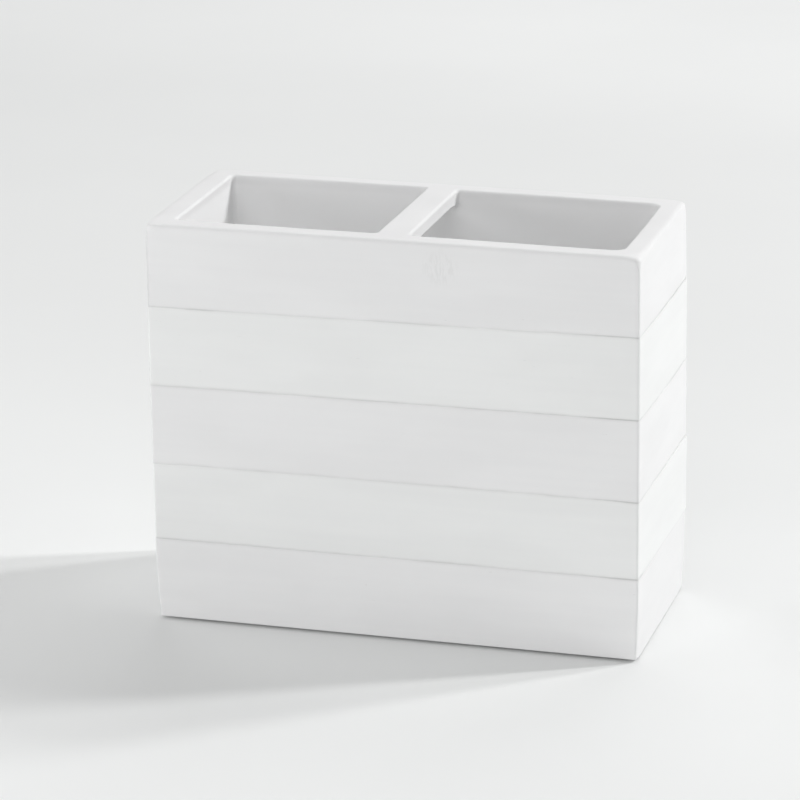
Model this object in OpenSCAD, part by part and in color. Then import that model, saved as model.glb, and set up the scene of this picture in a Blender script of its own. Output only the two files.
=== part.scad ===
// Toothbrush holder: five stacked ring courses, a shallow crossbar between two mouths,
// a floor panel let in from below, hidden corner dowels and four thin foot pads.
// The origin is at the centre of the foot pads' underside. X is the width, with the
// right side at +X, the front faces -Y, and Z is up.

/* [Body] */
// Width of the body
body_w = 127; // [100:1:180]
// Depth of the body, front to back
body_d = 56; // [50:1:90]
// Wall thickness of every course
wall = 5.5; // [5:0.1:7]
// Radius of the upright outer corners
corner_r = 0.8; // [0.8:0.1:3]
// Radius of the upright inner corners
inner_r = 3; // [1.5:0.1:5]

/* [Courses] */
// Height of each of the four upper courses
course_h = 20.9; // [18:0.1:30]
// Height of the base course
base_h = 21.8; // [18:0.1:30]
// Radius of the outer edges that meet at a seam
seam_r = 0.25; // [0.1:0.05:0.5]
// How far each side of the base course draws in toward its foot
base_tuck = 0.4; // [0.1:0.1:0.4]
// Radius of the lowest outer edge
toe_r = 0.3; // [0.1:0.1:0.3]

/* [Rim] */
// Radius of the rim's outer edge
rim_outer_r = 1.2; // [0.4:0.1:1.6]
// Radius of the rim's inner edge
rim_inner_r = 0.7; // [0.3:0.1:1.2]

/* [Crossbar] */
// Width of the crossbar
bar_w = 8; // [6:0.5:14]
// Height of the crossbar
bar_h = 3.5; // [3:0.1:8]
// Place of the crossbar's centre, to the right of the middle
bar_shift = -0.5; // [-10:0.5:10]
// Radius of the crossbar's long edges
bar_edge_r = 0.7; // [0.3:0.1:1.2]
// Depth of the housings that hold the crossbar's ends
housing_d = 2.5; // [1.5:0.1:3]

/* [Floor] */
// Thickness of the floor panel
floor_t = 4; // [3:0.1:6]
// Width of the ledge that the floor panel is let in under
ledge_w = 2.5; // [1.5:0.1:3]
// Clearance round the floor panel
floor_gap = 0.1; // [0.05:0.05:0.3]

/* [Dowels] */
// Diameter of the corner dowels
dowel_d = 3; // [2:0.1:3.4]
// Distance from each outer face to a dowel's centre
dowel_inset = 3.2; // [2.9:0.1:3.6]
// Depth of the blind sockets in the base and rim courses
socket_d = 8; // [5:0.5:12]
// Clearance round a dowel
dowel_gap = 0.05; // [0.02:0.01:0.15]
// Clearance over a dowel's upper end
dowel_end_gap = 0.5; // [0.2:0.1:0.8]

/* [Feet] */
// Diameter of the foot pads
foot_d = 10; // [7:0.5:14]
// Thickness of the foot pads
foot_t = 1.6; // [1.3:0.1:2.2]
// Depth of the recesses that the pads are glued into
recess_d = 1; // [0.5:0.1:1.2]
// Distance from each outer face to a pad's centre
foot_inset = 12; // [11:0.5:18]
// Radius of a pad's lower edge
foot_edge_r = 0.3; // [0.1:0.05:0.5]
// Clearance round a foot pad
foot_gap = 0.1; // [0.05:0.05:0.3]

/* [Hidden] */
$fn = 96;
// How far a cut runs past the face that it opens
overrun = 1;
// Number of alike rings between the base and rim courses
plain_courses = 3;
// Space inside the walls
inner_w = body_w - 2 * wall;
inner_d = body_d - 2 * wall;
// Heights above the table
base_z = foot_t - recess_d;
stack_z = base_z + base_h;
rim_z = stack_z + plain_courses * course_h;
top_z = rim_z + course_h;
// Ends of the dowels' bores
bore_bottom_z = stack_z - socket_d;
bore_top_z = rim_z + socket_d;
// Places of the dowels and feet from the centre
dowel_x = body_w / 2 - dowel_inset;
dowel_y = body_d / 2 - dowel_inset;
foot_x = body_w / 2 - foot_inset;
foot_y = body_d / 2 - foot_inset;
// Sides, as factors of a place from the centre
left = -1;
right = 1;
front = -1;
back = 1;

lacquer = "#ececea";
lacquer_cool = "#e8ebe9";
lacquer_warm = "#e9e8e6";
beech = "#d9b98c";
rubber = "#3a3a3a";

// A rectangle with round corners, centred on the origin
module round_rect(w, d, r) {
    square([w - 2 * r, d], center = true);
    square([w, d - 2 * r], center = true);
    for (x = [left, right], y = [front, back])
        translate([x * (w / 2 - r), y * (d / 2 - r)]) circle(r);
}

// An upright profile, drawn out to $reach from the middle, and its mirror image
module both_halves($reach) {
    children();
    mirror([1, 0]) children();
}

// A block of round corners whose four sides all have the upright profile given as its
// child, which ends at $reach from the middle of the block or from a corner's centre
module profiled_block(w, d, r) {
    rotate([90, 0, 90]) linear_extrude(w - 2 * r, center = true) both_halves(d / 2) children();
    rotate([90, 0, 0]) linear_extrude(d - 2 * r, center = true) both_halves(w / 2) children();
    for (x = [left, right], y = [front, back])
        translate([x * (w / 2 - r), y * (d / 2 - r), 0]) rotate_extrude() corner_half(r) children();
}

// The part of a profile that a corner turns round its centre
module corner_half($reach) {
    children();
}

// Outer profile of a course, with round edges and a side that may lean in below
module course_profile(height, top_r, bottom_r, tuck) {
    toe = $reach - tuck;
    lean = tuck > 0 ? [[$reach, height - 2 * top_r]] : [];
    intersection() {
        union() {
            polygon(concat(
                [[0, 0], [toe - bottom_r, 0], [toe, bottom_r]],
                lean,
                [[$reach, height - top_r], [$reach - top_r, height], [0, height]]
            ));
            translate([$reach - top_r, height - top_r]) circle(top_r);
            translate([toe - bottom_r, bottom_r]) circle(bottom_r);
        }
        square([$reach, height]);
    }
}

// Profile of the space inside the rim, which opens out along a round edge at the top
module mouth_profile(height, edge_r) {
    translate([0, -overrun]) square([$reach, height + 2 * overrun]);
    difference() {
        translate([0, height - edge_r]) square([$reach + edge_r, edge_r + overrun]);
        translate([$reach + edge_r, height - edge_r]) circle(edge_r);
    }
}

// Solid outer form of a course that stands on the height z
module course_block(z, height, top_r, bottom_r, tuck = 0) {
    translate([0, 0, z]) profiled_block(body_w, body_d, corner_r)
        course_profile(height, top_r, bottom_r, tuck);
}

// Solid outer form of the rim course, whose large top rounds meet in a mitre at each corner
module rim_block() {
    translate([0, 0, rim_z]) intersection() {
        rotate([90, 0, 90]) linear_extrude(body_w, center = true) both_halves(body_d / 2) rim_profile();
        rotate([90, 0, 0]) linear_extrude(body_d, center = true) both_halves(body_w / 2) rim_profile();
        linear_extrude(course_h) round_rect(body_w, body_d, corner_r);
    }
}

module rim_profile() {
    course_profile(course_h, rim_outer_r, seam_r, 0);
}

// Straight well through a course
module well(z, height) {
    translate([0, 0, z - overrun]) linear_extrude(height + 2 * overrun)
        round_rect(inner_w, inner_d, inner_r);
}

// Bores for the dowels, from the base course's sockets up to the rim course's
module dowel_bores() {
    for (x = [left, right], y = [front, back])
        translate([x * dowel_x, y * dowel_y, bore_bottom_z])
            cylinder(h = bore_top_z - bore_bottom_z, d = dowel_d + 2 * dowel_gap);
}

// One of the alike rings, counted from 0 up
module plain_course(index) {
    z = stack_z + index * course_h;
    difference() {
        course_block(z, course_h, seam_r, seam_r);
        well(z, course_h);
        dowel_bores();
    }
}

module base_course() {
    color(lacquer_warm) difference() {
        course_block(base_z, base_h, seam_r, toe_r, base_tuck);
        well(base_z, base_h);
        translate([0, 0, base_z - overrun]) linear_extrude(floor_t + overrun)
            round_rect(inner_w + 2 * ledge_w, inner_d + 2 * ledge_w, inner_r);
        dowel_bores();
    }
}

module lower_course() {
    color(lacquer_cool) plain_course(0);
}

module middle_course() {
    color(lacquer) plain_course(1);
}

module upper_course() {
    color(lacquer_cool) plain_course(2);
}

module rim_course() {
    color(lacquer) difference() {
        rim_block();
        translate([0, 0, rim_z]) profiled_block(inner_w, inner_d, inner_r)
            mouth_profile(course_h, rim_inner_r);
        crossbar_housings();
        dowel_bores();
    }
}

// Space that the crossbar's square ends fill, open upward and toward the mouths
module crossbar_housings() {
    translate([bar_shift, 0, top_z + (overrun - bar_h) / 2])
        cube([bar_w, inner_d + 2 * housing_d, bar_h + overrun], center = true);
}

module crossbar() {
    span = inner_d + 2 * rim_inner_r;
    color(lacquer) translate([bar_shift, 0, top_z - bar_h / 2]) {
        rotate([90, 0, 0]) linear_extrude(span, center = true)
            round_rect(bar_w, bar_h, bar_edge_r);
        for (y = [front, back])
            translate([0, y * (span / 2 + inner_d / 2 + housing_d) / 2, 0])
                cube([bar_w, housing_d - rim_inner_r, bar_h], center = true);
    }
}

module floor_panel() {
    side = 2 * (ledge_w - floor_gap);
    color(lacquer_warm) difference() {
        translate([0, 0, base_z]) linear_extrude(floor_t)
            round_rect(inner_w + side, inner_d + side, inner_r);
        for (x = [left, right], y = [front, back])
            translate([x * foot_x, y * foot_y, base_z - overrun])
                cylinder(h = recess_d + overrun, d = foot_d + 2 * foot_gap);
    }
}

// Hidden dowel at one corner, standing on the bottom of its socket
module corner_dowel(x, y) {
    color(beech) translate([x * dowel_x, y * dowel_y, bore_bottom_z])
        cylinder(h = bore_top_z - bore_bottom_z - dowel_end_gap, d = dowel_d);
}

// Rubber pad in its recess, with its lower edge rounded
module foot_pad(x, y) {
    color(rubber) translate([x * foot_x, y * foot_y, 0]) rotate_extrude() {
        square([foot_d / 2 - foot_edge_r, foot_t]);
        translate([0, foot_edge_r]) square([foot_d / 2, foot_t - foot_edge_r]);
        translate([foot_d / 2 - foot_edge_r, foot_edge_r]) circle(foot_edge_r);
    }
}

base_course();
lower_course();
middle_course();
upper_course();
rim_course();
crossbar();
floor_panel();
corner_dowel(left, front);  // dowel_front_left
corner_dowel(right, front);  // dowel_front_right
corner_dowel(left, back);  // dowel_back_left
corner_dowel(right, back);  // dowel_back_right
foot_pad(left, front);  // foot_front_left
foot_pad(right, front);  // foot_front_right
foot_pad(left, back);  // foot_back_left
foot_pad(right, back);  // foot_back_right
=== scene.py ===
"""Looks of a toothbrush holder: lacquered courses and crossbar, floor, dowels and feet, on a stage."""
import math

import bmesh
import bpy
from mathutils import Matrix, Vector, noise


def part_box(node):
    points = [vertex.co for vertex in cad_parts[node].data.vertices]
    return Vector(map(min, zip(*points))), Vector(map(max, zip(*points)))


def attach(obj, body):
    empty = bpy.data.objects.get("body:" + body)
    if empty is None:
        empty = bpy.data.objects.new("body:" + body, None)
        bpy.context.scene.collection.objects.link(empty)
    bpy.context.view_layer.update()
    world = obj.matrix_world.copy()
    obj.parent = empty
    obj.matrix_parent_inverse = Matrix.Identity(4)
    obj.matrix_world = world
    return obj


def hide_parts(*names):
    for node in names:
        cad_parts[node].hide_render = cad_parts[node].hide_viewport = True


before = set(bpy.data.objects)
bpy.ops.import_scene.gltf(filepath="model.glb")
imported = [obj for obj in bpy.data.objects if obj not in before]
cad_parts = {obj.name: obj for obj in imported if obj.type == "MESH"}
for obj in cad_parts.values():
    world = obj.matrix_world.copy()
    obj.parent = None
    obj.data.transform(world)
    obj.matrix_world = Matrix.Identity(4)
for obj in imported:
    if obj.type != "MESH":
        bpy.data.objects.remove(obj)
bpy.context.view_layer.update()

bl_info = {
    "name": "Toothbrush Holder Looks",
    "version": (1, 0, 0),
    "blender": (4, 5, 0),
    "location": "3D View > Sidebar > Holder",
    "description": "Builds the lacquered pieces of a stacked toothbrush holder and its stage",
    "category": "Object",
}

MM = 0.001
BODY = "root"
X, Y, Z = Vector((1, 0, 0)), Vector((0, 1, 0)), Vector((0, 0, 1))

# The courses from the foot up, and the heights of their seams
COURSES = ["base_course", "lower_course", "middle_course", "upper_course", "rim_course"]
LEVELS = [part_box(name)[0].z for name in COURSES] + [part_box("rim_course")[1].z]
# Places of the base and the rim among the courses, and of the rim's top among the heights
BASE, RIM, TOP = 0, 4, 5
HALF_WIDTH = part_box("rim_course")[1].x
HALF_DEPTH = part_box("rim_course")[1].y
BAR_LOW, BAR_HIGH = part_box("crossbar")
FLOOR_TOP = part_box("floor_panel")[1].z

# How finely the pieces are cut
GRID_STEP = 1.6 * MM
CORNER_STEPS = 6
# Fewer steps beside the crossbar, so that each is longer than the rounding of the crossbar's foot
BAR_CORNER_STEPS = 3
EDGE_STEPS = 5
# How far right of the middle the rim's top and foot are parted, which is clear of the crossbar
RING_CUT = 30 * MM
# Extra cuts beside each seam, where the faces draw in
SEAM_CUTS = (0.4 * MM, 0.8 * MM)
# Faces that meet at more than this angle make an edge to be rounded
CREASE_ANGLE = math.radians(40)
# How closely a face has to look along an axis, and an edge has to follow one, as cosines
FACING = 0.9
STRAIGHT = 0.999
# How far apart two lengths may be and still agree, and how near to a fine cut a point is moved onto it
TOLERANCE = 0.003 * MM
SNAP = 0.03 * MM

# How far the sanded top of the rim droops at its corners, by their sides along x and y
DROOP = {(-1, -1): 0.5 * MM, (1, -1): 0.7 * MM, (-1, 1): 0.5 * MM, (1, 1): 0.5 * MM}
DROOP_REACH = 5 * MM
# How far each seam and the top lie from their even heights at the body's corners, by their sides
# along x and y, from the lowest seam up
TILT = (
    {(-1, -1): 0.2 * MM, (1, -1): 0.2 * MM, (-1, 1): 0.1 * MM, (1, 1): 0.1 * MM},
    {(-1, -1): 0.05 * MM, (1, -1): -0.03 * MM, (-1, 1): -0.2 * MM, (1, 1): -0.3 * MM},
    {(-1, -1): -0.72 * MM, (1, -1): -0.55 * MM, (-1, 1): -0.55 * MM, (1, 1): -0.55 * MM},
    {(-1, -1): -0.55 * MM, (1, -1): -0.08 * MM, (-1, 1): -0.6 * MM, (1, 1): -0.8 * MM},
    {(-1, -1): -0.65 * MM, (1, -1): 0.2 * MM, (-1, 1): -0.4 * MM, (1, 1): 0},
    {(-1, -1): 0.17 * MM, (1, -1): -0.1 * MM, (-1, 1): 0.2 * MM, (1, 1): -0.42 * MM},
)
# How far each seam and the top rise in the middle of the width, and in the middle of the right side
BOW = (0, 0.05 * MM, 0.35 * MM, 0.1 * MM, 0.02 * MM, 0.06 * MM)
SIDE_BOW = (0, -0.1 * MM, -0.25 * MM, -0.5 * MM, -0.2 * MM, -0.35 * MM)
# How far each course strays along x, from the base up: its left side, its right side at the
# front, and its right side at the back
STRAY = (
    (-0.25 * MM, 0.05 * MM, 0), (-0.2 * MM, -0.05 * MM, 0.1 * MM), (-0.4 * MM, 0, -0.15 * MM),
    (-0.35 * MM, -0.05 * MM, -0.25 * MM), (0.05 * MM, -0.08 * MM, -0.42 * MM),
)
# How far the rim's right side leans in toward its back top corner
BACK_LEAN = 0.5 * MM
# How far down the rim its corners tighten to the radius of the other courses
TIGHTEN_REACH = 1.5 * MM
# How far the round edges at the rim's left and right ends are drawn out toward square ones, from 0 to 1
END_SHARPNESS = (0.9, 0.35)
# How far from an end this starts, and over what length it grows
SHARP_START = 4 * MM
SHARP_GROWTH = 3 * MM
# How far before the back left and front right corners it is gone, and over what length it fades
SHARP_STOP = 1 * MM
SHARP_FADE = 8 * MM
# How much lower the base reaches along its right side
HEEL_DROP = 0.62 * MM
# How far in from that side this reaches, and over what length it fades toward the corners
HEEL_WIDTH = 1.5 * MM
HEEL_FADE = 5 * MM
# How much thicker the left and right walls are than the front and back ones
END_EXTRA = (0.6 * MM, -0.05 * MM)
# How much thinner the back wall is behind the left mouth
BACK_THIN = 0.8 * MM
# Where along x this starts and over what length it grows, and where it ends and over what length it fades
BACK_THIN_START, BACK_THIN_GROWTH = -58 * MM, 30 * MM
BACK_THIN_END, BACK_THIN_FADE = 8 * MM, 16 * MM
# How far above the floor panel the walls reach their changed thickness
WALL_CHANGE = 10 * MM
# How far the crossbar's lower edges sag toward the back wall, and how far before it they sag most
BAR_SAG = 0.55 * MM
BAR_SAG_PLACE = 2.4 * MM
# How far in from its sides the sag of the crossbar fades out, and how wide that fading is
BAR_SAG_DEPTH = 2.5 * MM
BAR_SAG_FADE = 2 * MM
# How much wider the crossbar is on its left, at the front, and on its right, and how far beside it
# this carries the rim along
BAR_SPREAD = (0.4 * MM, 0.15 * MM)
BAR_SPREAD_REACH = 4 * MM
# How far from the wall the crossbar is parted from the rim, which is just clear of its fillets
BAR_CUT = 1.3 * MM

# Wavelengths at which the seams stray, the share of the second one, and the wavelength of the faces
SEAM_WAVELENGTHS = (45 * MM, 9 * MM)
FINE_SHARE = 0.3
FACE_WAVELENGTH = 60 * MM
# How far apart the noise of two seeds lies along x, y and z
SEED_STEPS = (7.3, 3.1, 5.7)

# Attribute that keeps each point's height as it was before the seams were led astray
EVEN_HEIGHT = "even_height"


class HolderSizes(bpy.types.PropertyGroup):
    """Sizes of the lacquered pieces"""

    wall: bpy.props.FloatProperty(
        name="Wall", description="Wall thickness of the courses",
        default=5.5 * MM, min=3 * MM, max=7 * MM, unit="LENGTH")
    corner: bpy.props.FloatProperty(
        name="Outer Corner", description="Radius of the upright outer corners",
        default=0.65 * MM, min=0.4 * MM, max=3 * MM, unit="LENGTH")
    rim_corner: bpy.props.FloatProperty(
        name="Rim Corner", description="Radius of the outer corners at the top of the rim",
        default=1.5 * MM, min=1.4 * MM, max=3 * MM, unit="LENGTH")
    inner_corner: bpy.props.FloatProperty(
        name="Inner Corner", description="Radius of the upright inner corners",
        default=3 * MM, min=1.5 * MM, max=5 * MM, unit="LENGTH")
    tight_corner: bpy.props.FloatProperty(
        name="Tight Corner", description="Radius of the upright inner corners at the left end",
        default=1.2 * MM, min=0.5 * MM, max=5 * MM, unit="LENGTH")
    rim_outer: bpy.props.FloatProperty(
        name="Rim Outer Edge", description="Radius of the outer edge of the rim",
        default=1.2 * MM, min=0.4 * MM, max=1.3 * MM, unit="LENGTH")
    rim_inner: bpy.props.FloatProperty(
        name="Mouth Edge", description="Radius of the edge round each mouth",
        default=0.7 * MM, min=0.3 * MM, max=1.2 * MM, unit="LENGTH")
    bar_fillet: bpy.props.FloatProperty(
        name="Crossbar Fillet", description="Radius of the corners where the crossbar flows into the front",
        default=1.1 * MM, min=0.2 * MM, max=3 * MM, unit="LENGTH")
    bar_back_fillet: bpy.props.FloatProperty(
        name="Crossbar Back Fillet",
        description="Radius of the corners where the crossbar flows into the back",
        default=1.2 * MM, min=0.2 * MM, max=3 * MM, unit="LENGTH")
    bar_foot: bpy.props.FloatProperty(
        name="Crossbar Foot", description="Radius of the lower edges of the crossbar",
        default=0.5 * MM, min=0.2 * MM, max=0.55 * MM, unit="LENGTH")
    seam: bpy.props.FloatProperty(
        name="Seam Edge", description="Radius of the outer edges that meet at a seam",
        default=0.09 * MM, min=0.05 * MM, max=0.5 * MM, unit="LENGTH")
    inner_seam: bpy.props.FloatProperty(
        name="Inner Seam Edge", description="Radius of the inner edges that meet at a seam",
        default=0.15 * MM, min=0.05 * MM, max=0.5 * MM, unit="LENGTH")
    seam_dip: bpy.props.FloatProperty(
        name="Seam Dip", description="How far a face draws in beside a seam",
        default=0.08 * MM, min=0, max=0.3 * MM, unit="LENGTH")
    toe: bpy.props.FloatProperty(
        name="Toe Edge", description="Radius of the lowest outer edge",
        default=0.15 * MM, min=0.1 * MM, max=0.5 * MM, unit="LENGTH")
    tuck: bpy.props.FloatProperty(
        name="Tuck", description="How far the base course draws in on each side toward its foot",
        default=0.7 * MM, min=0, max=1 * MM, unit="LENGTH")
    ledge: bpy.props.FloatProperty(
        name="Ledge", description="Width of the ledge over the floor panel",
        default=2.5 * MM, min=1 * MM, max=3 * MM, unit="LENGTH")
    ledge_gap: bpy.props.FloatProperty(
        name="Ledge Gap", description="Room between the floor panel and the ledge",
        default=0.1 * MM, min=0.05 * MM, max=0.3 * MM, unit="LENGTH")
    seam_wave: bpy.props.FloatProperty(
        name="Seam Wave", description="How far a seam strays up and down by hand",
        default=0.13 * MM, min=0, max=0.4 * MM, unit="LENGTH")
    face_drift: bpy.props.FloatProperty(
        name="Face Drift", description="How far the face of a course strays in and out",
        default=0.12 * MM, min=0, max=0.3 * MM, unit="LENGTH")


class HolderColours(bpy.types.PropertyGroup):
    """Colours of the finishes"""

    lacquer: bpy.props.FloatVectorProperty(
        name="Lacquer", description="White satin coat", subtype="COLOR", size=3,
        default=(0.885, 0.885, 0.887), min=0, max=1)
    second_coat: bpy.props.FloatVectorProperty(
        name="Second Lacquer", description="The slightly lighter coat of every other course",
        subtype="COLOR", size=3, default=(0.9, 0.907, 0.902), min=0, max=1)
    beech: bpy.props.FloatVectorProperty(
        name="Dowel Wood", description="Plain wood of the hidden dowels", subtype="COLOR", size=3,
        default=(0.58, 0.38, 0.2), min=0, max=1)
    rubber: bpy.props.FloatVectorProperty(
        name="Foot Rubber", description="Dark rubber of the foot pads", subtype="COLOR", size=3,
        default=(0.03, 0.03, 0.032), min=0, max=1)
    floor: bpy.props.FloatVectorProperty(
        name="Floor", description="Pale floor of the stage", subtype="COLOR", size=3,
        default=(0.86, 0.868, 0.864), min=0, max=1)


# Modelling

def near(a, b):
    """Whether two lengths agree within the modelling tolerance."""
    return abs(a - b) < TOLERANCE


def middle(edge):
    """Middle point of an edge."""
    return (edge.verts[0].co + edge.verts[1].co) / 2


def runs_along(edge, axis):
    """Whether an edge runs straight along an axis."""
    way = edge.verts[1].co - edge.verts[0].co
    return way.length > TOLERANCE and abs(way.dot(axis)) > STRAIGHT * way.length


def round_edges(bm, edges, radius, steps=EDGE_STEPS):
    """Rounds edges to a radius."""
    bmesh.ops.bevel(bm, geom=edges, offset=radius, offset_type="OFFSET", segments=steps, profile=0.5,
                    affect="EDGES", material=-1, clamp_overlap=False)


def creases(bm, test):
    """The sharp edges whose middle passes a test."""
    bm.normal_update()
    return [e for e in bm.edges if e.calc_face_angle(0) > CREASE_ANGLE and test(middle(e))]


def ring(sizes, low, high, ledge_top=None):
    """A course as a closed square-cornered ring, with the rebate under the ledge if it has one."""
    bm = bmesh.new()
    size = Matrix.Diagonal((2 * HALF_WIDTH, 2 * HALF_DEPTH, high - low, 1))
    bmesh.ops.create_cube(bm, size=1, matrix=Matrix.Translation(Z * (low + high) / 2) @ size)
    bm.normal_update()
    top = next(f for f in bm.faces if f.normal.z > FACING)
    foot = next(f for f in bm.faces if f.normal.z < -FACING)
    bmesh.ops.inset_individual(bm, faces=[top], thickness=sizes.wall, use_even_offset=True)
    ledge = sizes.ledge if ledge_top else 0
    bmesh.ops.inset_individual(bm, faces=[foot], thickness=sizes.wall - ledge, use_even_offset=True)
    if ledge_top:
        bmesh.ops.inset_individual(bm, faces=[foot], thickness=0, depth=low - ledge_top)
        bmesh.ops.inset_individual(bm, faces=[foot], thickness=ledge, use_even_offset=True)
    loops = list(top.edges) + list(foot.edges)
    bmesh.ops.delete(bm, geom=[top, foot], context="FACES_ONLY")
    bmesh.ops.bridge_loops(bm, edges=loops)
    bmesh.ops.recalc_face_normals(bm, faces=bm.faces)
    return bm


def cut_across(bm):
    """Parts the top and the foot of a ring across its walls instead of at its corners, which get rounded."""
    for axis, place in ((X, RING_CUT), (Y, 0)):
        bmesh.ops.bisect_plane(bm, geom=bm.verts[:] + bm.edges[:] + bm.faces[:], dist=TOLERANCE,
                               plane_co=axis * place, plane_no=axis)
    slanted = [e for e in bm.edges if not any(runs_along(e, axis) for axis in (X, Y, Z))]
    bmesh.ops.dissolve_edges(bm, edges=slanted, use_verts=False)


def add_crossbar(bm, sizes):
    """Carries the rim across its well as a shallow bar."""
    inner = HALF_DEPTH - sizes.wall
    for axis, place in ((X, BAR_LOW.x), (X, BAR_HIGH.x), (Z, BAR_LOW.z)):
        parts = set()
        for f in bm.faces:
            if near(abs(f.calc_center_median().y), inner) and abs(f.normal.y) > FACING:
                parts.update((f, *f.edges, *f.verts))
        bmesh.ops.bisect_plane(bm, geom=list(parts), dist=TOLERANCE, plane_co=axis * place, plane_no=axis)
    ends = []
    for f in bm.faces:
        c = f.calc_center_median()
        if near(abs(c.y), inner) and BAR_LOW.x < c.x < BAR_HIGH.x and c.z > BAR_LOW.z:
            ends.append(f)
    loops = list({e for f in ends for e in f.edges})
    bmesh.ops.delete(bm, geom=ends, context="FACES_ONLY")
    bmesh.ops.bridge_loops(bm, edges=loops)
    bmesh.ops.recalc_face_normals(bm, faces=bm.faces)


def join_bar_top(bm, sizes):
    """Makes the top of the crossbar one face with the rim's at both ends, and parts it at its middle."""
    inner = HALF_DEPTH - sizes.wall

    def beside_bar(point):
        return BAR_LOW.x - TOLERANCE < point.x < BAR_HIGH.x + TOLERANCE
    parts = set()
    for f in bm.faces:
        centre = f.calc_center_median()
        if beside_bar(centre) and abs(centre.y) < inner / 2:
            parts.update((f, *f.edges, *f.verts))
    bmesh.ops.bisect_plane(bm, geom=list(parts), dist=TOLERANCE, plane_co=(0, 0, 0), plane_no=Y)

    def at_end(point):
        return near(point.z, LEVELS[TOP]) and near(abs(point.y), inner) and beside_bar(point)
    ends = [e for e in bm.edges if all(at_end(v.co) for v in e.verts)]
    bmesh.ops.dissolve_edges(bm, edges=ends, use_verts=False)


def round_uprights(bm, sizes, outer):
    """Rounds the upright corners outside, in the well and beside the crossbar."""
    def at_bar(m):
        return near(m.x, BAR_LOW.x) or near(m.x, BAR_HIGH.x)
    def inside(m):
        return not at_bar(m) and abs(m.x) < HALF_WIDTH - sizes.wall / 3
    groups = (
        (outer, CORNER_STEPS, lambda m: near(abs(m.x), HALF_WIDTH)),
        (sizes.bar_fillet, BAR_CORNER_STEPS, lambda m: at_bar(m) and m.y < 0),
        (sizes.bar_back_fillet, BAR_CORNER_STEPS, lambda m: at_bar(m) and m.y > 0),
        (sizes.inner_corner, CORNER_STEPS, lambda m: inside(m) and m.x > 0),
        (sizes.tight_corner, CORNER_STEPS, lambda m: inside(m) and m.x < 0),
    )
    for radius, steps, test in groups:
        round_edges(bm, [e for e in creases(bm, test) if runs_along(e, Z)], radius, steps)


def refill_ledge(bm, height):
    """Fills the underside of the ledge afresh, because the strips of its two rounded corners cross."""
    under = {f for f in bm.faces if all(near(v.co.z, height) for v in f.verts)}
    border = [e for f in under for e in f.edges if not all(other in under for other in e.link_faces)]
    bmesh.ops.delete(bm, geom=list(under), context="FACES")
    bmesh.ops.triangle_fill(bm, edges=[e for e in border if e.is_valid], use_beauty=True)
    bmesh.ops.recalc_face_normals(bm, faces=bm.faces)


def round_bar_foot(bm, sizes):
    """Rounds the two lower edges of the crossbar."""
    long_edges = creases(bm, lambda m: near(m.z, BAR_LOW.z) and abs(m.y) < HALF_DEPTH - sizes.wall)
    round_edges(bm, [e for e in long_edges if runs_along(e, Y)], sizes.bar_foot)


def round_course(bm, sizes, low, high, outer_low, outer_high, inner_low, inner_high):
    """Rounds the outer and inner edges of a course at its foot and its top."""
    def outside(m):
        return max(abs(m.x) - HALF_WIDTH, abs(m.y) - HALF_DEPTH) > -sizes.wall / 2
    for level, outer, inner in ((low, outer_low, inner_low), (high, outer_high, inner_high)):
        round_edges(bm, creases(bm, lambda m: near(m.z, level) and outside(m)), outer)
        round_edges(bm, creases(bm, lambda m: near(m.z, level) and not outside(m)), inner)


def slice_finely(bm, low, high):
    """Cuts a course along all three axes, so that its faces can stray from flat."""
    for axis, start, end in ((X, -HALF_WIDTH, HALF_WIDTH), (Y, -HALF_DEPTH, HALF_DEPTH), (Z, low, high)):
        count = round((end - start) / GRID_STEP)
        places = [start + (end - start) * i / count for i in range(1, count)]
        if axis == Z:
            places += [low + cut for cut in SEAM_CUTS] + [high - cut for cut in SEAM_CUTS]
        for at in places:
            bmesh.ops.bisect_plane(bm, geom=bm.verts[:] + bm.edges[:] + bm.faces[:], dist=SNAP,
                                   plane_co=axis * at, plane_no=axis)


def wander(point, wavelength, seed):
    """Smooth noise from about -1 to 1 that strays over a wavelength."""
    return noise.noise(point / wavelength + Vector([seed * step for step in SEED_STEPS]))


def part_crossbar(bm, sizes):
    """Cuts the crossbar off the rim just clear of the walls, closes both, and returns the crossbar."""
    side = HALF_DEPTH - sizes.wall - BAR_CUT
    reach = (BAR_HIGH.x - BAR_LOW.x) / 2 + max(sizes.bar_fillet, sizes.bar_back_fillet) + GRID_STEP
    centre = (BAR_LOW.x + BAR_HIGH.x) / 2
    for place in (-side, side):
        bmesh.ops.bisect_plane(bm, geom=bm.verts[:] + bm.edges[:] + bm.faces[:], dist=TOLERANCE,
                               plane_co=Y * place, plane_no=Y)

    def in_bar(f):
        c = f.calc_center_median()
        return abs(c.x - centre) < reach and abs(c.y) < side
    bar = bm.copy()
    bmesh.ops.delete(bar, geom=[f for f in bar.faces if not in_bar(f)], context="FACES")
    bmesh.ops.delete(bm, geom=[f for f in bm.faces if in_bar(f)], context="FACES")
    for part in (bar, bm):
        bmesh.ops.holes_fill(part, edges=[e for e in part.edges if e.is_boundary], sides=0)
    return bar


def smooth_share(value):
    """Turns a share from 0 to 1 into one that starts and ends gently."""
    value = min(1, max(0, value))
    return value * value * (3 - 2 * value)


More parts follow.
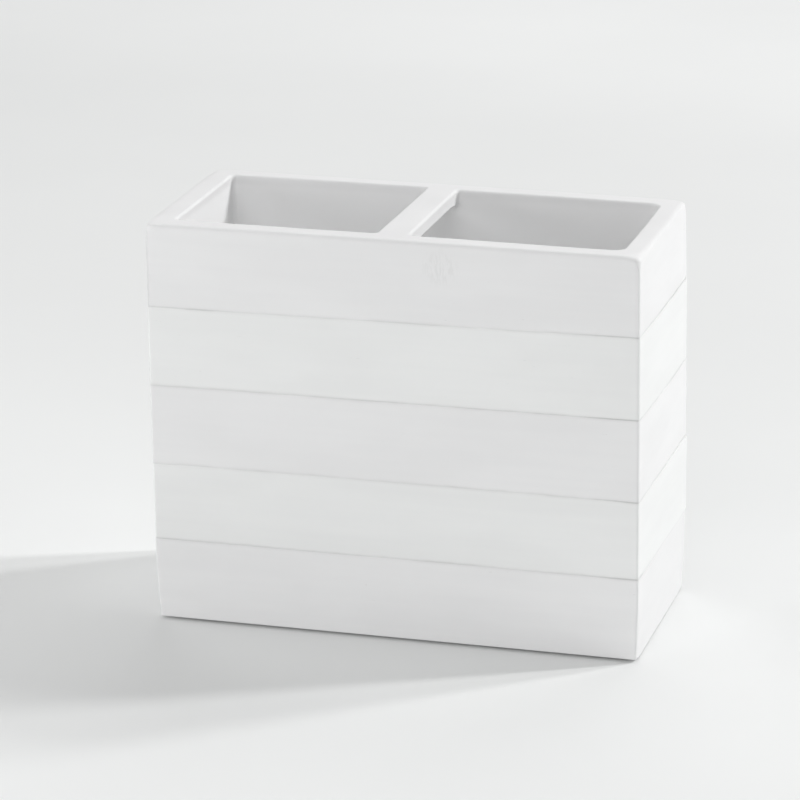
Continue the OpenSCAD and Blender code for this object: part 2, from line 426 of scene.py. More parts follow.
def tighten_corner(point, sizes):
    """Draws the rim's outer corners from their radius at the top to the courses' radius below."""
    radius = sizes.rim_corner
    along = abs(point.x) - (HALF_WIDTH - radius)
    across = abs(point.y) - (HALF_DEPTH - radius)
    if min(along, across) < -TOLERANCE or max(along, across) < TOLERANCE:
        return
    share = smooth_share((LEVELS[TOP] - sizes.rim_outer - point.z) / TIGHTEN_REACH)
    drawn = (radius - sizes.corner) * share
    angle = math.atan2(max(0, across), max(0, along))
    out = math.hypot(along, across) - drawn
    point.x = math.copysign(HALF_WIDTH - radius + drawn + out * math.cos(angle), point.x)
    point.y = math.copysign(HALF_DEPTH - radius + drawn + out * math.sin(angle), point.y)


def sharpen_ends(point, sizes):
    """Draws the round outer edges of the rim out toward square ones at its two ends."""
    power = smooth_share((SHARP_START - HALF_WIDTH + abs(point.x)) / SHARP_GROWTH)
    toward_corner = point.y if point.x < 0 else -point.y
    power *= smooth_share((HALF_DEPTH - SHARP_STOP - toward_corner) / SHARP_FADE)
    power *= END_SHARPNESS[0] if point.x < 0 else END_SHARPNESS[1]
    radius = sizes.rim_outer
    off = Vector((max(0, abs(point.x) - HALF_WIDTH + radius), max(0, abs(point.y) - HALF_DEPTH + radius),
                  max(0, point.z - LEVELS[TOP] + radius)))
    if power == 0 or max(off) < TOLERANCE:
        return
    grown = off * ((off.length / max(off)) ** power - 1)
    point.x += math.copysign(grown.x, point.x)
    point.y += math.copysign(grown.y, point.y)
    point.z += grown.z


def droop(point):
    """How far a place on the rim is sanded down toward the nearest top corner."""
    away = math.hypot(HALF_WIDTH - abs(point.x), HALF_DEPTH - abs(point.y))
    near_top = smooth_share((point.z - LEVELS[RIM]) / (LEVELS[TOP] - LEVELS[RIM]) * 2 - 1)
    side = (1 if point.x > 0 else -1, 1 if point.y > 0 else -1)
    return DROOP[side] * near_top * max(0, 1 - away / DROOP_REACH) ** 2


def seam_shift(point, level, sizes):
    """How far a seam strays up or down at a place; the courses on both sides of it share this."""
    flat = Vector((point.x, point.y, 0))
    tilt = BOW[level] * (1 - (point.x / HALF_WIDTH) ** 2)
    tilt += SIDE_BOW[level] * max(0, point.x / HALF_WIDTH) ** 2 * (1 - (point.y / HALF_DEPTH) ** 2)
    for (side_x, side_y), height in TILT[level].items():
        tilt += height * (1 + side_x * point.x / HALF_WIDTH) * (1 + side_y * point.y / HALF_DEPTH) / 4
    if level == BASE:
        heel = smooth_share(1 - (HALF_WIDTH - point.x) / HEEL_WIDTH)
        return tilt - HEEL_DROP * heel * smooth_share((HALF_DEPTH - abs(point.y)) / HEEL_FADE)
    broad, fine = SEAM_WAVELENGTHS
    wave = wander(flat, broad, level) + FINE_SHARE * wander(flat, fine, level + 20)
    return tilt + sizes.seam_wave * wave


def thicken_end(point, sizes):
    """Draws the inner faces of the two end walls toward the middle, above the floor panel."""
    inner = HALF_WIDTH - sizes.wall
    amount = END_EXTRA[0] if point.x < 0 else END_EXTRA[1]
    amount *= smooth_share((point.z - FLOOR_TOP) / WALL_CHANGE)
    share = min(abs(point.x) / inner, (HALF_WIDTH - abs(point.x)) / sizes.wall)
    point.x -= math.copysign(amount * max(0, share), point.x)


def thin_back(point, sizes):
    """Draws the inner face of the back wall outward behind the left mouth, above the floor panel."""
    inner = HALF_DEPTH - sizes.wall
    amount = BACK_THIN * smooth_share((point.z - FLOOR_TOP) / WALL_CHANGE)
    grown = smooth_share((point.x - BACK_THIN_START) / BACK_THIN_GROWTH)
    amount *= grown * smooth_share((BACK_THIN_END - point.x) / BACK_THIN_FADE)
    point.y += amount * max(0, min(point.y / inner, (HALF_DEPTH - point.y) / sizes.wall))


def bar_sag(point, sizes):
    """How far the crossbar's lower edges sag just before the back wall."""
    off = abs(point.x - (BAR_LOW.x + BAR_HIGH.x) / 2) - (BAR_HIGH.x - BAR_LOW.x) / 2
    before = HALF_DEPTH - sizes.wall - point.y
    low = 1 - (point.z - BAR_LOW.z) / (LEVELS[TOP] - sizes.rim_inner - BAR_LOW.z)
    in_bar = off < sizes.bar_back_fillet + TOLERANCE and before > -TOLERANCE
    if not in_bar or low < 0 or point.z < BAR_LOW.z - TOLERANCE:
        return 0
    along = smooth_share(1 - abs(before - BAR_SAG_PLACE) / BAR_SAG_PLACE)
    return BAR_SAG * low * along * smooth_share((off + BAR_SAG_DEPTH) / BAR_SAG_FADE)


def spread_bar(point, sizes):
    """Widens the crossbar and its corners a little, most at its front left."""
    half = (BAR_HIGH.x - BAR_LOW.x) / 2
    off = point.x - (BAR_LOW.x + BAR_HIGH.x) / 2
    toward_front = min(1, max(0, 0.5 - point.y / (HALF_DEPTH - sizes.wall) / 2))
    amount = BAR_SPREAD[0] * toward_front if off < 0 else BAR_SPREAD[1]
    share = min(1, abs(off) / half) * max(0, 1 - max(0, abs(off) - half) / BAR_SPREAD_REACH)
    point.x += math.copysign(amount * share, off)


def stray(point, index):
    """How far a place on a course strays along x."""
    left, right_front, right_back = STRAY[index]
    if point.x < 0:
        return left * -point.x / HALF_WIDTH
    back = 0.5 + point.y / HALF_DEPTH / 2
    reach = point.x / HALF_WIDTH
    shift = (right_front + (right_back - right_front) * back) * reach
    if index == RIM:
        rise = (point.z - LEVELS[RIM]) / (LEVELS[TOP] - LEVELS[RIM])
        shift -= BACK_LEAN * (reach * max(0, back) * max(0, rise)) ** 2
    return shift


def settle(bm, index, sizes):
    """Gives a course its hand-finished look: straying seams, faces a little out of true, sanded corners."""
    low, high = LEVELS[index], LEVELS[index + 1]
    even_height = bm.verts.layers.float.new(EVEN_HEIGHT)
    for v in bm.verts:
        rest, place = v.co.copy(), v.co
        v[even_height] = rest.z
        share = (rest.z - low) / (high - low)
        thicken_end(place, sizes)
        thin_back(place, sizes)
        if index == RIM:
            sharpen_ends(place, sizes)
            tighten_corner(place, sizes)
            spread_bar(place, sizes)
            place.z -= bar_sag(rest, sizes) + droop(rest)
        above_seam = rest.z - low if index > BASE else GRID_STEP
        below_seam = high - rest.z if index < RIM else GRID_STEP
        beside = min(above_seam, below_seam)
        dip = sizes.seam_dip * max(0, 1 - beside / SEAM_CUTS[-1]) ** 2
        place.x -= math.copysign(dip * max(0, 1 - (HALF_WIDTH - abs(rest.x)) / GRID_STEP), rest.x)
        place.y -= math.copysign(dip * max(0, 1 - (HALF_DEPTH - abs(rest.y)) / GRID_STEP), rest.y)
        if index == BASE:
            tuck = sizes.tuck * (1 - share) ** 2
            place.x -= tuck * rest.x / HALF_WIDTH
            place.y -= tuck * rest.y / HALF_DEPTH
        place.x += stray(rest, index)
        place.x += sizes.face_drift * wander(rest, FACE_WAVELENGTH, index + 1) * rest.x / HALF_WIDTH
        place.y += sizes.face_drift * wander(rest, FACE_WAVELENGTH, index + 9) * rest.y / HALF_DEPTH
        place.z += (1 - share) * seam_shift(rest, index, sizes) + share * seam_shift(rest, index + 1, sizes)


def finish_piece(bm, name, material, nodes):
    """Makes a bmesh a smooth lacquered piece that stands for CAD nodes."""
    bmesh.ops.recalc_face_normals(bm, faces=bm.faces)
    for e in bm.edges:
        e.smooth = e.calc_face_angle(0) < CREASE_ANGLE
    for f in bm.faces:
        f.smooth = True
    mesh = bpy.data.meshes.new(name)
    bm.to_mesh(mesh)
    bm.free()
    mesh.materials.append(material)
    piece = bpy.data.objects.new(name, mesh)
    bpy.context.scene.collection.objects.link(piece)
    normals = piece.modifiers.new("Even Normals", "WEIGHTED_NORMAL")
    normals.keep_sharp = True
    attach(piece, BODY)
    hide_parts(*nodes)


# Finishes

# How far a pattern is moved along x, y and z, for each unit of its shift
SHIFT_STEPS = (1, 0.7, 1.3)

# Wavelengths of the lacquer's patterns along x, y and z
BLOTCH_SIZE = (38 * MM, 38 * MM, 13 * MM)
STREAK_SIZE = (55 * MM, 55 * MM, 1.7 * MM)
SHEEN_SIZE = (7 * MM, 7 * MM, 2.5 * MM)
TOOTH_SIZE = (1.3 * MM,) * 3
GREY_SIZE = (16 * MM, 16 * MM, 5 * MM)
MARK_SIZE = (2.2 * MM, 2.2 * MM, 0.5 * MM)
MARKED_SIZE = (22 * MM, 22 * MM, 14 * MM)
SCUFF_SIZE = (0.7 * MM, 0.7 * MM, 2.8 * MM)
# How light the lacquer is in places, as a share of its colour
BLOTCH_TONES = (0.988, 1.012)
STREAK_TINT = (0.991, 0.991, 0.993)
# Painted light inside the wells, as a share of the colour: stronger on the left end wall, where the key
# lamps fall, than elsewhere
LEFT_WALL_PAINTED_LIGHT, WELL_PAINTED_LIGHT = 1.09, 1.045
# Grey of the seams, partly dust and partly painted shade in the joints: a soft band and a darker line
SEAM_HAZE_DUST_AND_SHADE, SEAM_LINE_DUST_AND_SHADE = 0.93, 0.72
MARK_TONE, SCUFF_TONE = 0.9, 0.95
# How far in from the outer faces the painted light of the wells starts, and over what length it grows
WELL_INSET, WELL_GROWTH = 4 * MM, 1 * MM
# How far below the top it is full, and how far below the top it has faded
WELL_TOP = (3 * MM, 1 * MM)
# How far from the left end the stronger painted light of the left wall gives way to that of the wells
LEFT_WALL = (6.8 * MM, 8 * MM)
# How far below the lowest and above the highest seam their grey, partly dust and partly painted shade, may
# reach
SEAM_BAND = 1 * MM
# How far from the right end the grey of the seams starts to weaken, and where it is weakest
RIGHT_FACE_EASE = (0.5 * MM, 0.1 * MM)
# How far from a seam its haze and its line fade out, each from full to none
HAZE_REACH = (0.1 * MM, 0.9 * MM)
LINE_REACH = (0.05 * MM, 0.3 * MM)
# How far in from the right and from the left end the line shows, from least to most
LINE_FROM_RIGHT = (18 * MM, 6 * MM)
LINE_FROM_LEFT = (22 * MM, 14 * MM)
# How far below the highest seam, and how far behind the front face, the left one may show
LEFT_LINE_DROP, LEFT_LINE_DEPTH = 5 * MM, 1 * MM
# Depth and strength of the lacquer's bumps
BUMP_DEPTH, BUMP_STRENGTH = 0.012 * MM, 0.6
# Place and reach of the scuffs on the rim's front, from full to none
SCUFF_PLACE = (13 * MM, -HALF_DEPTH, 100 * MM)
SCUFF_REACH = (2 * MM, 6 * MM)

# Wavelengths of the patterns in the wood, the rubber and the paper along x, y and z
GRAIN_SIZE = (0.5 * MM, 0.5 * MM, 14 * MM)
PORE_SIZE = (0.14 * MM, 0.14 * MM, 2.4 * MM)
RUBBER_TOOTH_SIZE = (0.25 * MM,) * 3
DUST_SIZE = (2.2 * MM,) * 3
MOTTLE_SIZE = (70 * MM,) * 3
PAPER_TOOTH_SIZE = (0.8 * MM,) * 3
DUST = (0.2, 0.2, 0.2)
# Distances behind the holder between which painted shade makes the paper greyer, fades again, and painted
# light makes it paler
PAINTED_SHADE_BEHIND = (70 * MM, 270 * MM)
PAINTED_SHADE_GONE = (460 * MM, 620 * MM)
PAINTED_LIGHT_BEYOND = (540 * MM, 680 * MM)
# Places along x between which the painted shade and light change from those on the left to those on the
# right
TO_RIGHT = (-250 * MM, 0)
LEFT_PAINTED_SHADE = (0.975, 0.975, 0.975)
RIGHT_PAINTED_SHADE = (0.938, 0.938, 0.938)
PAINTED_LIGHT_TINT = (1.045, 1.045, 1.045)


class Finish:
    """A material while its nodes are put together"""

    def __init__(self, name, colour, roughness, specular):
        self.material = bpy.data.materials.new(name)
        self.material.use_nodes = True
        self.tree = self.material.node_tree
        self.shader = self.tree.nodes["Principled BSDF"]
        self.shader.inputs["Base Color"].default_value = (*colour, 1)
        self.shader.inputs["Roughness"].default_value = roughness
        self.shader.inputs["Specular IOR Level"].default_value = specular
        self.place = self.tree.nodes.new("ShaderNodeTexCoord").outputs["Object"]

    def link(self, start, end):
        """Joins two sockets, or sets a plain value."""
        if isinstance(start, bpy.types.NodeSocket):
            self.tree.links.new(start, end)
        else:
            end.default_value = start

    def noise(self, wavelengths, detail, shift=0.0, bend=0.0):
        """Noise that strays over the given wavelengths along x, y and z, from 0 to 1."""
        mapping = self.tree.nodes.new("ShaderNodeMapping")
        self.link(self.place, mapping.inputs["Vector"])
        mapping.inputs["Scale"].default_value = [1 / w for w in wavelengths]
        mapping.inputs["Location"].default_value = [shift * step for step in SHIFT_STEPS]
        texture = self.tree.nodes.new("ShaderNodeTexNoise")
        self.link(mapping.outputs["Vector"], texture.inputs["Vector"])
        texture.inputs["Scale"].default_value = 1
        texture.inputs["Detail"].default_value = detail
        texture.inputs["Distortion"].default_value = bend
        return texture.outputs["Fac"]

    def ramp(self, value, low, high, out_low=0.0, out_high=1.0):
        """Maps a value smoothly from one range to another."""
        node = self.tree.nodes.new("ShaderNodeMapRange")
        node.interpolation_type = "SMOOTHSTEP"
        node.inputs["From Min"].default_value = low
        node.inputs["From Max"].default_value = high
        node.inputs["To Min"].default_value = out_low
        node.inputs["To Max"].default_value = out_high
        self.link(value, node.inputs["Value"])
        return node.outputs["Result"]

    def maths(self, operation, a, b=0.0):
        """A sum on two values."""
        node = self.tree.nodes.new("ShaderNodeMath")
        node.operation = operation
        self.link(a, node.inputs[0])
        self.link(b, node.inputs[1])
        return node.outputs["Value"]

    def mix(self, share, a, b, blend="MIX"):
        """Mixes two colours."""
        node = self.tree.nodes.new("ShaderNodeMix")
        node.data_type = "RGBA"
        node.blend_type = blend
        self.link(share, node.inputs["Factor"])
        self.link(a if isinstance(a, bpy.types.NodeSocket) else (*a, 1), node.inputs["A"])
        self.link(b if isinstance(b, bpy.types.NodeSocket) else (*b, 1), node.inputs["B"])
        return node.outputs["Result"]

    def bump(self, height, distance, strength):
        """Adds a bump to the shader's normal, over what is there already."""
        node = self.tree.nodes.new("ShaderNodeBump")
        node.inputs["Strength"].default_value = strength
        node.inputs["Distance"].default_value = distance
        self.link(height, node.inputs["Height"])
        normal = self.shader.inputs["Normal"]
        if normal.links:
            self.link(normal.links[0].from_socket, node.inputs["Normal"])
        self.link(node.outputs["Normal"], normal)

    def along(self, axis):
        """One coordinate of the place."""
        node = self.tree.nodes.new("ShaderNodeSeparateXYZ")
        self.link(self.place, node.inputs["Vector"])
        return node.outputs[axis]

    def distance(self, spot):
        """Distance from a spot."""
        node = self.tree.nodes.new("ShaderNodeVectorMath")
        node.operation = "DISTANCE"
        self.link(self.place, node.inputs[0])
        node.inputs[1].default_value = spot
        return node.outputs["Value"]

    def attribute(self, name):
        """A value that the mesh keeps at each point."""
        node = self.tree.nodes.new("ShaderNodeAttribute")
        node.attribute_name = name
        return node.outputs["Fac"]


def shade(colour, factor):
    """A colour made lighter or darker."""
    return tuple(min(1, c * factor) for c in colour)


def lacquer(name, colour, seed, scuffed=None):
    """Satin lacquer over wood: faint blotches, brush streaks along the course, grey in the seams that is
    partly dust and partly painted shade, and painted light inside the wells.

    Scuffed is the middle of a patch of faint scuffs, if there is one."""
    coat = Finish(name, colour, 0.5, 0.4)
    coat.shader.inputs["Coat Weight"].default_value = 0.05
    coat.shader.inputs["Coat Roughness"].default_value = 0.35
    blotches = coat.noise(BLOTCH_SIZE, 2, seed)
    streaks = coat.noise(STREAK_SIZE, 3, seed + 3)
    light_blotch, dark_blotch = shade(colour, BLOTCH_TONES[1]), shade(colour, BLOTCH_TONES[0])
    tone = coat.mix(coat.ramp(blotches, 0.35, 0.65), dark_blotch, light_blotch)
    streaked = coat.mix(1.0, tone, STREAK_TINT, "MULTIPLY")
    tone = coat.mix(coat.ramp(streaks, 0.3, 0.7), tone, streaked)
    # Painted light: the inside of the wells is made lighter, most on the left end wall that the key lamps
    # light
    beyond_x = coat.maths("SUBTRACT", coat.maths("ABSOLUTE", coat.along("X")), HALF_WIDTH - WELL_INSET)
    beyond_y = coat.maths("SUBTRACT", coat.maths("ABSOLUTE", coat.along("Y")), HALF_DEPTH - WELL_INSET)
    within = coat.ramp(coat.maths("MAXIMUM", beyond_x, beyond_y), -WELL_GROWTH, 0, 1.0, 0.0)
    below = coat.ramp(coat.along("Z"), LEVELS[TOP] - WELL_TOP[0], LEVELS[TOP] - WELL_TOP[1], 1.0, 0.0)
    inside = coat.maths("MULTIPLY", within, below)
    off_left = coat.ramp(coat.along("X"), LEFT_WALL[0] - HALF_WIDTH, LEFT_WALL[1] - HALF_WIDTH)
    well_painted_light = coat.mix(off_left, shade(colour, LEFT_WALL_PAINTED_LIGHT), shade(colour, WELL_PAINTED_LIGHT))
    tone = coat.mix(inside, tone, well_painted_light)
    # Grey along the seams, partly dust and partly painted shade in the joints: a soft band, and a darker
    # line toward the ends
    height = coat.attribute(EVEN_HEIGHT)
    above_lowest = coat.maths("SUBTRACT", height, LEVELS[1])
    to_seam = coat.maths("PINGPONG", above_lowest, (LEVELS[2] - LEVELS[1]) / 2)
    between = coat.maths("MULTIPLY", coat.maths("GREATER_THAN", height, LEVELS[1] - SEAM_BAND),
                         coat.maths("LESS_THAN", height, LEVELS[RIM] + SEAM_BAND))
    patchy = coat.ramp(coat.noise(GREY_SIZE, 3, seed + 8), 0.35, 0.62, 0.2, 1.0)
    right_face_ease = coat.ramp(coat.along("X"), HALF_WIDTH - RIGHT_FACE_EASE[0], HALF_WIDTH - RIGHT_FACE_EASE[1], 1.0, 0.4)
    patchy = coat.maths("MULTIPLY", between, coat.maths("MULTIPLY", patchy, right_face_ease))
    haze = coat.maths("MULTIPLY", patchy, coat.ramp(to_seam, *HAZE_REACH, 1.0, 0.0))
    tone = coat.mix(haze, tone, shade(colour, SEAM_HAZE_DUST_AND_SHADE))
    line_at_right = coat.ramp(coat.along("X"), HALF_WIDTH - LINE_FROM_RIGHT[0], HALF_WIDTH - LINE_FROM_RIGHT[1],
                           0.25, 1.0)
    line_at_left = coat.ramp(coat.along("X"), LINE_FROM_LEFT[0] - HALF_WIDTH, LINE_FROM_LEFT[1] - HALF_WIDTH, 0.0, 0.8)
    under_rim = coat.maths("GREATER_THAN", height, LEVELS[RIM] - LEFT_LINE_DROP)
    on_front = coat.maths("LESS_THAN", coat.along("Y"), LEFT_LINE_DEPTH - HALF_DEPTH)
    line_at_left = coat.maths("MULTIPLY", line_at_left, coat.maths("MULTIPLY", under_rim, on_front))
    line_at_ends = coat.maths("MAXIMUM", line_at_right, line_at_left)
    line = coat.maths("MULTIPLY", coat.maths("MULTIPLY", patchy, line_at_ends),
                      coat.ramp(to_seam, *LINE_REACH, 1.0, 0.0))
    tone = coat.mix(line, tone, shade(colour, SEAM_LINE_DUST_AND_SHADE))
    marks = coat.ramp(coat.noise(MARK_SIZE, 3, seed + 12), 0.71, 0.76)
    where = coat.ramp(coat.noise(MARKED_SIZE, 1, seed + 6), 0.5, 0.65)
    tone = coat.mix(coat.maths("MULTIPLY", marks, where), tone, shade(colour, MARK_TONE))
    if scuffed:
        scuffs = coat.ramp(coat.noise(SCUFF_SIZE, 3, seed + 15, 0.3), 0.48, 0.57)
        far = coat.ramp(coat.distance(scuffed), *SCUFF_REACH)
        share = coat.maths("MULTIPLY", scuffs, coat.maths("SUBTRACT", 1.0, far))
        tone = coat.mix(share, tone, shade(colour, SCUFF_TONE))
    coat.link(tone, coat.shader.inputs["Base Color"])
    sheen = coat.ramp(coat.noise(SHEEN_SIZE, 4, seed + 5), 0.25, 0.75, 0.44, 0.58)
    coat.link(sheen, coat.shader.inputs["Roughness"])
    coat.bump(streaks, BUMP_DEPTH, BUMP_STRENGTH)
    coat.bump(coat.noise(TOOTH_SIZE, 2, seed + 1), BUMP_DEPTH, BUMP_STRENGTH)
    return coat.material


def beech(name, colour):
    """Plain turned wood with its rings and pores running along the dowel."""
    wood = Finish(name, colour, 0.6, 0.3)
    grain = wood.noise(GRAIN_SIZE, 4, 2, 0.4)
    pores = wood.noise(PORE_SIZE, 2, 5)
    tone = wood.mix(wood.ramp(grain, 0.3, 0.7), shade(colour, 0.78), shade(colour, 1.12))
    tone = wood.mix(wood.ramp(pores, 0.62, 0.7), tone, shade(colour, 0.5))
    wood.link(tone, wood.shader.inputs["Base Color"])
    wood.link(wood.ramp(grain, 0.2, 0.8, 0.7, 0.5), wood.shader.inputs["Roughness"])
    wood.bump(pores, 0.02 * MM, 0.8)
    return wood.material


def rubber(name, colour):
    """Matt moulded rubber with a fine tooth and a little dust."""
    pad = Finish(name, colour, 0.75, 0.35)
    tooth = pad.noise(RUBBER_TOOTH_SIZE, 3)
    dust = pad.noise(DUST_SIZE, 4, 4)
    tone = pad.mix(pad.ramp(dust, 0.55, 0.75, 0, 0.5), colour, DUST)
    pad.link(tone, pad.shader.inputs["Base Color"])
    pad.link(pad.ramp(dust, 0.3, 0.7, 0.62, 0.85), pad.shader.inputs["Roughness"])
    pad.bump(tooth, 0.03 * MM, 0.7)
    return pad.material


def floor_paper(name, colour):
    """Smooth pale paper with the faintest mottle, painted shade a little behind the holder and painted light
    beyond.
    """
    paper = Finish(name, colour, 0.85, 0.2)
    mottle = paper.noise(MOTTLE_SIZE, 3)
    tone = paper.mix(paper.ramp(mottle, 0.3, 0.7), shade(colour, 0.996), shade(colour, 1.004))
    away = paper.along("Y")
    to_right = paper.ramp(paper.along("X"), *TO_RIGHT)
    # Painted shade behind the holder, deeper toward the right, and painted light farther back on the left
    behind = paper.maths("MULTIPLY", paper.ramp(away, *PAINTED_SHADE_BEHIND), paper.ramp(away, *PAINTED_SHADE_GONE, 1.0, 0.0))
    on_left = paper.ramp(to_right, 0.3, 1.0, 1.0, 0.0)
    beyond = paper.maths("MULTIPLY", paper.ramp(away, *PAINTED_LIGHT_BEYOND), on_left)
    greyer = paper.mix(to_right, LEFT_PAINTED_SHADE, RIGHT_PAINTED_SHADE)
    tone = paper.mix(behind, tone, paper.mix(1.0, tone, greyer, "MULTIPLY"))
    tone = paper.mix(beyond, tone, paper.mix(1.0, tone, PAINTED_LIGHT_TINT, "MULTIPLY"))
    paper.link(tone, paper.shader.inputs["Base Color"])
    paper.bump(paper.noise(PAPER_TOOTH_SIZE, 2), 0.01 * MM, 0.3)
    return paper.material


def dress(node_name, material):
    """Gives a CAD node that keeps its own mesh a finish."""
    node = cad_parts[node_name]
    node.data.materials.clear()
    node.data.materials.append(material)


# Operators

class HOLDER_OT_base_course(bpy.types.Operator):
    """Make the base course, which draws in toward its foot and is rebated for the floor panel"""

    bl_idname = "holder.base_course"
    bl_label = "Base Course"

    def execute(self, context):
        sizes, colours = context.scene.holder_sizes, context.scene.holder_colours
        low, high = LEVELS[BASE], LEVELS[BASE + 1]
        under_ledge = FLOOR_TOP + sizes.ledge_gap
        bm = ring(sizes, low, high, under_ledge)
        round_uprights(bm, sizes, sizes.corner)
        refill_ledge(bm, under_ledge)
        round_course(bm, sizes, low, high, sizes.toe, sizes.seam, sizes.inner_seam, sizes.inner_seam)
        slice_finely(bm, low, high)
        settle(bm, BASE, sizes)
        coat = lacquer("Lacquer Base", colours.lacquer, 1)
        finish_piece(bm, "base_course_lacquered", coat, ["base_course"])
        return {"FINISHED"}


class HOLDER_OT_plain_courses(bpy.types.Operator):
    """Make the three plain courses between the base and the rim"""

    bl_idname = "holder.plain_courses"
    bl_label = "Plain Courses"

    def execute(self, context):
        sizes, colours = context.scene.holder_sizes, context.scene.holder_colours
        for index in range(BASE + 1, RIM):
            low, high = LEVELS[index], LEVELS[index + 1]
            bm = ring(sizes, low, high)
            round_uprights(bm, sizes, sizes.corner)
            round_course(bm, sizes, low, high, sizes.seam, sizes.seam, sizes.inner_seam, sizes.inner_seam)
            slice_finely(bm, low, high)
            settle(bm, index, sizes)
            name = COURSES[index]
            colour = colours.lacquer if name == "middle_course" else colours.second_coat
            coat = lacquer("Lacquer " + name.split("_")[0].title(), colour, index + 1)
            finish_piece(bm, name + "_lacquered", coat, [name])
        return {"FINISHED"}


class HOLDER_OT_rim_course(bpy.types.Operator):
    """Make the rim course with its crossbar, and round its edges at both mouths"""

    bl_idname = "holder.rim_course"
    bl_label = "Rim Course and Crossbar"

    def execute(self, context):
        sizes, colours = context.scene.holder_sizes, context.scene.holder_colours
        low, high = LEVELS[RIM], LEVELS[TOP]
        bm = ring(sizes, low, high)
        cut_across(bm)
        add_crossbar(bm, sizes)
        join_bar_top(bm, sizes)
        round_uprights(bm, sizes, sizes.rim_corner)
        round_bar_foot(bm, sizes)
        round_course(bm, sizes, low, high, sizes.seam, sizes.rim_outer, sizes.inner_seam, sizes.rim_inner)
        slice_finely(bm, low, high)
        bar = part_crossbar(bm, sizes)
        settle(bm, RIM, sizes)
        settle(bar, RIM, sizes)
        coat = lacquer("Lacquer Rim", colours.lacquer, 5, SCUFF_PLACE)
        finish_piece(bm, "rim_course_lacquered", coat, ["rim_course"])
        finish_piece(bar, "crossbar_lacquered", coat, ["crossbar"])
        return {"FINISHED"}


class HOLDER_OT_floor_panel(bpy.types.Operator):
    """Lacquer the floor panel"""

    bl_idname = "holder.floor_panel"
    bl_label = "Floor Panel"

    def execute(self, context):
        coat = lacquer("Lacquer Floor", context.scene.holder_colours.lacquer, 7)
        dress("floor_panel", coat)
        return {"FINISHED"}


class HOLDER_OT_dowels(bpy.types.Operator):
    """Give the hidden corner dowels their wood"""

    bl_idname = "holder.dowels"
    bl_label = "Dowels"

    def execute(self, context):
        wood = beech("Beech Dowel", context.scene.holder_colours.beech)
        for name in sorted(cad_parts):
            if name.startswith("dowel_"):
                dress(name, wood)
        return {"FINISHED"}


class HOLDER_OT_feet(bpy.types.Operator):
    """Give the foot pads their rubber"""

    bl_idname = "holder.feet"
    bl_label = "Feet"

    def execute(self, context):
        pad = rubber("Foot Rubber", context.scene.holder_colours.rubber)
        for name in sorted(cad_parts):
            if name.startswith("foot_"):
                dress(name, pad)
        return {"FINISHED"}


# Lamps: name, degrees from +X toward +Y, degrees upward, distance from their target in metres, width
# and height in metres, and power in watts
LAMPS = (
    ("Near Key", 23.8, 32.8, 1.89, 0.142, 0.663, 12.6),
    ("Far Key", 34.6, 35.2, 1.71, 0.163, 0.264, 7.1),
    ("Front Fill", -90, 40, 1.8, 1.2, 1.2, 5.1),
    ("Low Front Fill", -75, 12, 1.8, 1, 1, 1.5),
    ("Low Left Fill", -140, 8, 0.65, 0.5, 0.25, 0.95),
    ("Left Fill", 180, 45, 1.8, 1.2, 1.2, 5.1),
    ("Back Fill", 90, 50, 1.8, 1.2, 1.2, 6.2),
)
LAMP_TARGET = Vector((0, 0, 0.05))
CAMERA_TARGET = Vector((0, 0, 53 * MM))
ROOM_LIGHT = 0.28
# Half the side of the square floor in metres, and how many faces lie along a side
FLOOR_HALF = 5
FLOOR_FACES = 8
# Where the camera looks, in degrees from +Y toward -X and degrees downward, and its roll in degrees
CAMERA_TURN, CAMERA_TILT, CAMERA_ROLL = 16.342, 17.998, -0.731
# Its distance from its target in millimetres, and how many it is moved to the left and up
CAMERA_DISTANCE, CAMERA_LEFT, CAMERA_UP = 1011.08, 5.62, 2.64
# Width of its sensor and length of its lens in millimetres, and the distances it shows in metres
SENSOR_WIDTH, LENS = 36, 177.1
CLIP_START, CLIP_END = 0.01, 30


def add_lamp(name, azimuth, elevation, distance, width, height, watts):
    """A soft oval lamp that faces the holder."""
    data = bpy.data.lights.new(name, "AREA")
    data.shape = "ELLIPSE"
    data.size, data.size_y = width, height
    data.energy = watts
    a, e = math.radians(azimuth), math.radians(elevation)
    back = Vector((math.cos(a) * math.cos(e), math.sin(a) * math.cos(e), math.sin(e)))
    lamp = bpy.data.objects.new(name, data)
    bpy.context.scene.collection.objects.link(lamp)
    lamp.location = LAMP_TARGET + back * distance
    lamp.rotation_mode = "QUATERNION"
    lamp.rotation_quaternion = (-back).to_track_quat("-Z", "Y")


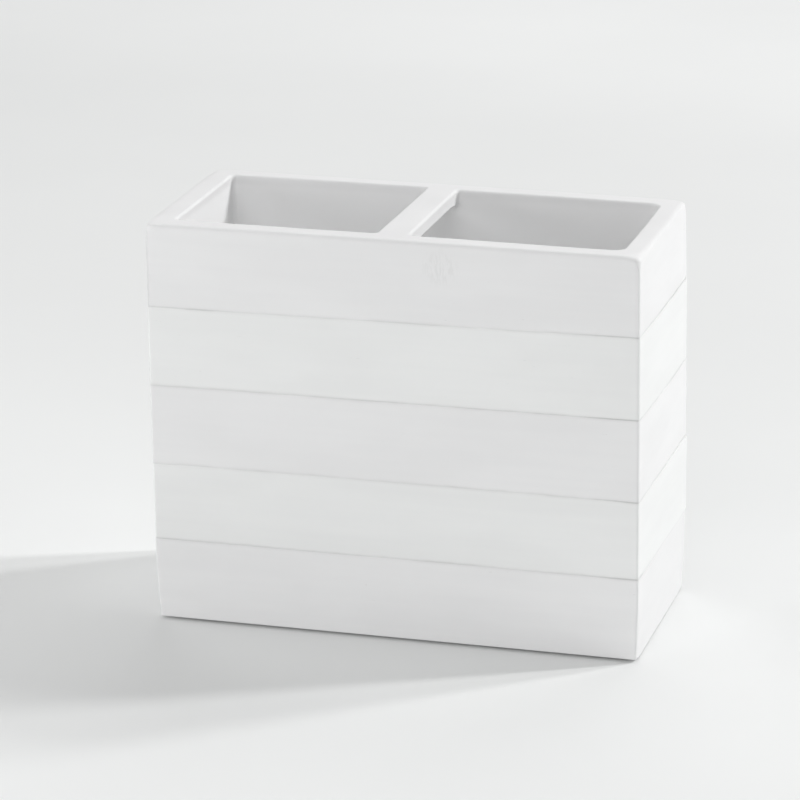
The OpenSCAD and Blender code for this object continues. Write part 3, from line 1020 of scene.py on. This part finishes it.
class HOLDER_OT_stage(bpy.types.Operator):
    """Set the floor, the lamps, the room light and the camera"""

    bl_idname = "holder.stage"
    bl_label = "Stage"

    def execute(self, context):
        bm = bmesh.new()
        bmesh.ops.create_grid(bm, x_segments=FLOOR_FACES, y_segments=FLOOR_FACES, size=FLOOR_HALF)
        mesh = bpy.data.meshes.new("Floor")
        bm.to_mesh(mesh)
        bm.free()
        mesh.materials.append(floor_paper("Floor Paper", context.scene.holder_colours.floor))
        floor = bpy.data.objects.new("Floor", mesh)
        context.scene.collection.objects.link(floor)
        for lamp in LAMPS:
            add_lamp(*lamp)
        self.light_room(context)
        self.set_camera(context)
        context.scene.view_settings.view_transform = "Standard"
        return {"FINISHED"}

    def light_room(self, context):
        """Even white light from all sides."""
        world = bpy.data.worlds.new("Room Light")
        context.scene.world = world
        world.use_nodes = True
        sky = world.node_tree.nodes["Background"]
        sky.inputs["Color"].default_value = (1, 1, 1, 1)
        sky.inputs["Strength"].default_value = ROOM_LIGHT

    def set_camera(self, context):
        """The camera in the place that the photograph's edges give."""
        turn, tilt, roll = (math.radians(angle) for angle in (CAMERA_TURN, CAMERA_TILT, CAMERA_ROLL))
        ahead = Vector((-math.sin(turn) * math.cos(tilt), math.cos(turn) * math.cos(tilt), -math.sin(tilt)))
        level = Vector((math.cos(turn), math.sin(turn), 0))
        upward = level.cross(ahead)
        right = math.cos(roll) * level + math.sin(roll) * upward
        above = -math.sin(roll) * level + math.cos(roll) * upward
        data = bpy.data.cameras.new("Camera")
        data.sensor_width = SENSOR_WIDTH
        data.lens = LENS
        data.clip_start, data.clip_end = CLIP_START, CLIP_END
        camera = bpy.data.objects.new("Camera", data)
        context.scene.collection.objects.link(camera)
        facing = Matrix((right, above, -ahead)).transposed()
        spot = CAMERA_TARGET - ahead * CAMERA_DISTANCE * MM
        spot = spot - right * CAMERA_LEFT * MM + above * CAMERA_UP * MM
        camera.matrix_world = Matrix.Translation(spot) @ facing.to_4x4()
        context.scene.camera = camera


STEPS = (
    HOLDER_OT_stage, HOLDER_OT_base_course, HOLDER_OT_plain_courses, HOLDER_OT_rim_course,
    HOLDER_OT_floor_panel, HOLDER_OT_dowels, HOLDER_OT_feet,
)


class HOLDER_PT_panel(bpy.types.Panel):
    """The holder's pieces and their sizes"""

    bl_idname = "HOLDER_PT_panel"
    bl_label = "Toothbrush Holder"
    bl_space_type = "VIEW_3D"
    bl_region_type = "UI"
    bl_category = "Holder"

    def draw(self, context):
        for group in (context.scene.holder_sizes, context.scene.holder_colours):
            box = self.layout.box()
            for name in group.__annotations__:
                box.prop(group, name)
        for step in STEPS:
            self.layout.operator(step.bl_idname)


CLASSES = (HolderSizes, HolderColours, *STEPS, HOLDER_PT_panel)


def register():
    for cls in CLASSES:
        bpy.utils.register_class(cls)
    bpy.types.Scene.holder_sizes = bpy.props.PointerProperty(type=HolderSizes)
    bpy.types.Scene.holder_colours = bpy.props.PointerProperty(type=HolderColours)


def unregister():
    del bpy.types.Scene.holder_colours
    del bpy.types.Scene.holder_sizes
    for cls in reversed(CLASSES):
        bpy.utils.unregister_class(cls)


def main():
    """Makes the whole holder on its stage."""
    register()
    bpy.ops.holder.stage()
    bpy.ops.holder.base_course()
    bpy.ops.holder.plain_courses()
    bpy.ops.holder.rim_course()
    bpy.ops.holder.floor_panel()
    bpy.ops.holder.dowels()
    bpy.ops.holder.feet()


if __name__ == "__main__":
    main()
